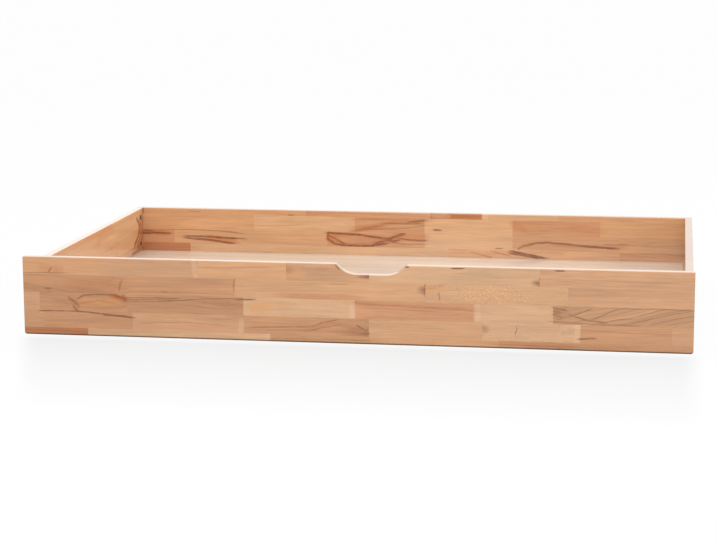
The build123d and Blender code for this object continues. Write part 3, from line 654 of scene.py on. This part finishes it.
def batten_material(name, colour_light, colour_dark, along_axis):
    """Planed solid timber with plain growth lines along one axis."""
    made, t, surface = material(name)
    place = t.node("ShaderNodeTexCoord", output=3)
    coarse, fine = ([across] * 3 for across in PLAIN_STRETCH)
    coarse[along_axis], fine[along_axis] = LONG_STRETCH
    figure = t.noise(place, tuple(coarse), detail=4.0, distortion=0.3)
    fibre = t.noise(place, tuple(fine), detail=2.0)
    colour = t.mix(t.spread(figure, 0.38, 0.64), linear(colour_light), linear(colour_dark))
    colour = scaled(t, colour, t.vary(1.0, fibre, 0.22))
    facing = t.math("ABSOLUTE", t.split(t.node("ShaderNodeTexCoord", output=1), along_axis))
    colour = t.mix(t.spread(facing, 0.5, 0.95), colour, scaled(t, colour, 0.74))
    t.feed(surface.inputs["Base Color"], colour)
    t.feed(surface.inputs["Roughness"], t.spread(figure, 0.3, 0.7, 0.50, 0.66))
    t.feed(surface.inputs["Normal"], t.bump(fibre, 0.0002, 0.5))
    return made


def metal_material(name, colour_light, colour_dark, rough_low, rough_high, size):
    """Plated or pressed metal: cloudy plating, fine scratches and an uneven shine."""
    made, t, surface = material(name)
    place = t.node("ShaderNodeTexCoord", output=3)
    cloud = t.noise(place, (size, size, size), detail=4.0, roughness=0.6)
    scratch = t.noise(place, (size * 1.5, size * 26, size * 9), detail=2.0)
    colour = t.mix(t.spread(cloud, 0.35, 0.68), linear(colour_light), linear(colour_dark))
    t.feed(surface.inputs["Base Color"], colour)
    t.feed(surface.inputs["Roughness"], t.spread(scratch, 0.3, 0.7, rough_low, rough_high))
    surface.inputs["Metallic"].default_value = 1.0
    t.feed(surface.inputs["Normal"], t.bump(scratch, 0.00004, 0.6))
    return made


def moulded_material(name, colour, rough, size, bump, ribs=0.0):
    """Moulded plastic or rubber with a fine grain, some dust, and ribs across the tread if asked."""
    made, t, surface = material(name)
    place = t.node("ShaderNodeTexCoord", output=3)
    fine = t.noise(place, (size, size, size), detail=2.0)
    dust = t.noise(place, (60.0, 60.0, 60.0), detail=4.0)
    base = linear(colour)
    dusty = tuple(min(1.0, c * 1.25 + 0.02) for c in base[:3])
    shown = t.mix(t.spread(dust, 0.42, 0.70, 0.0, 0.6), base, (*dusty, 1.0))
    t.feed(surface.inputs["Base Color"], shown)
    t.feed(surface.inputs["Roughness"], t.spread(fine, 0.3, 0.7, rough - 0.08, rough + 0.08))
    height = fine
    if ribs:
        wave = t.math("SINE", t.math("MULTIPLY", t.split(place, 0), FULL_TURN / ribs))
        height = t.math("MULTIPLY_ADD", wave, 0.8, fine)
    t.feed(surface.inputs["Normal"], t.bump(height, bump, 0.6))
    return made


def paint_cad_nodes():
    """Gives every CAD node that stays its material."""
    light_timber, dark_timber = (222, 188, 142), (200, 158, 108)
    along_x = batten_material("batten_timber_x", light_timber, dark_timber, 0)
    along_y = batten_material("batten_timber_y", light_timber, dark_timber, 1)
    dowel_wood = batten_material("dowel_beech", (214, 172, 126), (198, 150, 104), 1)
    screw_zinc = metal_material("zinc_screws", (205, 206, 208), (170, 172, 176), 0.22, 0.40, 240.0)
    sheet_zinc = metal_material("zinc_sheet", (190, 193, 198), (150, 154, 160), 0.28, 0.48, 90.0)
    cam_zinc = metal_material("dark_cam_zinc", (74, 62, 52), (44, 37, 32), 0.35, 0.55, 260.0)
    nylon = moulded_material("wheel_nylon", (38, 38, 41), 0.42, 900.0, 0.00005)
    rubber = moulded_material("tyre_rubber", (112, 114, 117), 0.68, 1400.0, 0.00010, ribs=0.0020)
    slots = {"birch_plywood": plywood_material(), "dowel_wood": dowel_wood, "cam_zinc": cam_zinc,
             "zinc_steel": screw_zinc, "pressed_steel": sheet_zinc, "wheel_plastic": nylon,
             "tyre_rubber": rubber}
    for subpart in frame["record"]["subparts"]:
        node, slot = subpart["node"], subpart["material_slot"]
        if slot == "beech":
            continue
        chosen = slots.get(slot)
        if slot == "batten_timber":
            chosen = along_x if node in ("front_cleat", "back_cleat") else along_y
        data = NODES[node].data
        data.materials.clear()
        data.materials.append(chosen)


# ---- studio ----------------------------------------------------------------------------------------------
FLOOR_HALF = 30.0
FLOOR_GLOW = 1.02          # what the camera sees of the floor is mostly this even glow
FLOOR_GLOW_SHARE = 0.94
PAINTED_SHADE_GREY = 0.89           # grey of the painted shade on the floor, where it meets the front of the box
PAINTED_SHADE_DEPTH = 0.60          # from the front of the box to where the floor is white again
PAINTED_SHADE_EDGE = 0.03           # half the width of its soft ends
PAINTED_SHADE_SLANT = 0.34          # how fast the left end of the fade moves in, going forward
WORLD_SEEN = 1.05
WORLD_LIGHT = 0.75


def painted_front_shade(t, place):
    """How white the floor is: painted shade, grey where it meets the front of the box and fading forward,
    like a faint reflection.
    """
    (left_end, front, _), (right_end, _, _) = CAD_BOX
    along = t.split(place, 0)
    ahead = t.math("SUBTRACT", front, t.split(place, 1))
    slanted = t.math("MULTIPLY_ADD", ahead, -PAINTED_SHADE_SLANT, along)
    grey = t.spread(ahead, 0.0, PAINTED_SHADE_DEPTH, PAINTED_SHADE_GREY, 1.0, smooth=False)
    inside = t.math("MULTIPLY", t.spread(slanted, left_end - PAINTED_SHADE_EDGE, left_end + PAINTED_SHADE_EDGE),
                    t.spread(along, right_end + PAINTED_SHADE_EDGE, right_end - PAINTED_SHADE_EDGE))
    inside = t.math("MULTIPLY", inside, t.spread(ahead, -2 * PAINTED_SHADE_EDGE, 0.0))
    return t.math("MULTIPLY_ADD", t.math("SUBTRACT", grey, 1.0), inside, 1.0)


def floor_material():
    """Pale matt floor, with an even glow that only the camera sees, dimmed by painted shade in front of the
    box.
    """
    made, t, surface = material("pale_floor")
    place = t.node("ShaderNodeTexCoord", output=3)
    mottle = t.spread(t.noise(place, (0.7, 0.7, 0.7), detail=2.0), 0.3, 0.7)
    t.feed(surface.inputs["Base Color"], t.mix(mottle, (0.48, 0.48, 0.48, 1), (0.50, 0.50, 0.50, 1)))
    surface.inputs["Roughness"].default_value = 0.6
    glow = made.node_tree.nodes.new("ShaderNodeEmission")
    # The glow is dimmed by the painted shade in front of the box.
    t.feed(glow.inputs["Strength"], t.math("MULTIPLY", painted_front_shade(t, place), FLOOR_GLOW))
    seen = t.node("ShaderNodeLightPath", output=0)
    blend = made.node_tree.nodes.new("ShaderNodeMixShader")
    t.feed(blend.inputs[0], t.math("MULTIPLY", seen, FLOOR_GLOW_SHARE))
    t.feed(blend.inputs[1], surface.outputs[0])
    t.feed(blend.inputs[2], glow.outputs[0])
    t.feed(made.node_tree.nodes["Material Output"].inputs["Surface"], blend.outputs[0])
    return made


def studio_floor():
    """A pale, almost shadowless floor with painted grey shade in front of the box."""
    data = bpy.data.meshes.new("studio_floor")
    half = FLOOR_HALF
    corners = [(-half, -half, 0), (half, -half, 0), (half, half, 0), (-half, half, 0)]
    data.from_pydata(corners, [], [(0, 1, 2, 3)])
    data.materials.append(floor_material())
    floor = bpy.data.objects.new("studio_floor", data)
    bpy.context.scene.collection.objects.link(floor)


def studio_world():
    """White all round: full white to the camera, a little less as light."""
    world = bpy.data.worlds.new("studio")
    bpy.context.scene.world = world
    world.use_nodes = True
    t = Tree(world.node_tree)
    background = world.node_tree.nodes["Background"]
    scattered = t.node("ShaderNodeLightPath", output=2)
    strength = t.spread(scattered, 0.0, 1.0, WORLD_SEEN, WORLD_LIGHT, smooth=False)
    t.feed(background.inputs["Strength"], strength)
    background.inputs["Color"].default_value = (1.0, 1.0, 1.0, 1.0)


def area_light(name, at, aim, size, power):
    """A square soft white light at a point, aimed at another."""
    data = bpy.data.lights.new(name, "AREA")
    data.shape = "SQUARE"
    data.size = size
    data.energy = power
    lamp = bpy.data.objects.new(name, data)
    lamp.location = at
    lamp.rotation_euler = (Vector(aim) - Vector(at)).to_track_quat("-Z", "Y").to_euler()
    bpy.context.scene.collection.objects.link(lamp)
    return lamp


def lights():
    """A big soft light overhead, one from the front, and one that reaches into the box from the right."""
    overhead = area_light("overhead", (-0.4, 0.3, 3.2), (0.0, 0.0, 0.0), 3.5, 46.0)
    overhead.visible_glossy = False
    area_light("front", (0.2, -3.8, 1.6), (0.0, -0.2, 0.1), 2.2, 49.0)
    area_light("right", (2.8, 0.2, 0.95), (-0.5, 0.1, 0.1), 1.0, 26.0)


CAMERA_AT = (0.7068, -4.627, 0.9218)
CAMERA_DOWN = 10.005       # degrees below the horizon
CAMERA_LEFT = 9.402        # degrees to the left of straight back
CAMERA_ROLL = -0.235
SENSOR_WIDTH = 36.0        # millimetres, as the lens
LENS = 97.785


def camera():
    """From the right of the front, a little above, as a product picture of the box is taken."""
    data = bpy.data.cameras.new("camera")
    data.sensor_width = SENSOR_WIDTH
    data.lens = LENS
    data.clip_end = 100.0
    view = bpy.data.objects.new("camera", data)
    view.location = CAMERA_AT
    aimed = Euler((radians(90 - CAMERA_DOWN), 0.0, radians(CAMERA_LEFT)), "XYZ").to_matrix()
    view.rotation_euler = (aimed @ Matrix.Rotation(radians(CAMERA_ROLL), 3, "Z")).to_euler()
    bpy.context.scene.collection.objects.link(view)
    bpy.context.scene.camera = view


# After the strokes: each board's painted light, lighter or darker for how the light falls on it, then the
# share of painted sheen on its faces that look up.
stave_board("front_panel", 1, 0, FRONT_ROWS, FRONT_STROKES, 1.0, 0.50)
stave_board("back_panel", 2, 0, BACK_ROWS, BACK_STROKES, 1.01, 0.15)
stave_board("left_side_panel", 3, 1, LEFT_ROWS, LEFT_STROKES, 1.06, 0.75)
stave_board("right_side_panel", 4, 1, RIGHT_ROWS, RIGHT_STROKES, 0.80, 0.15)
paint_cad_nodes()
studio_floor()
studio_world()
lights()
camera()
bpy.context.scene.view_settings.view_transform = "Standard"
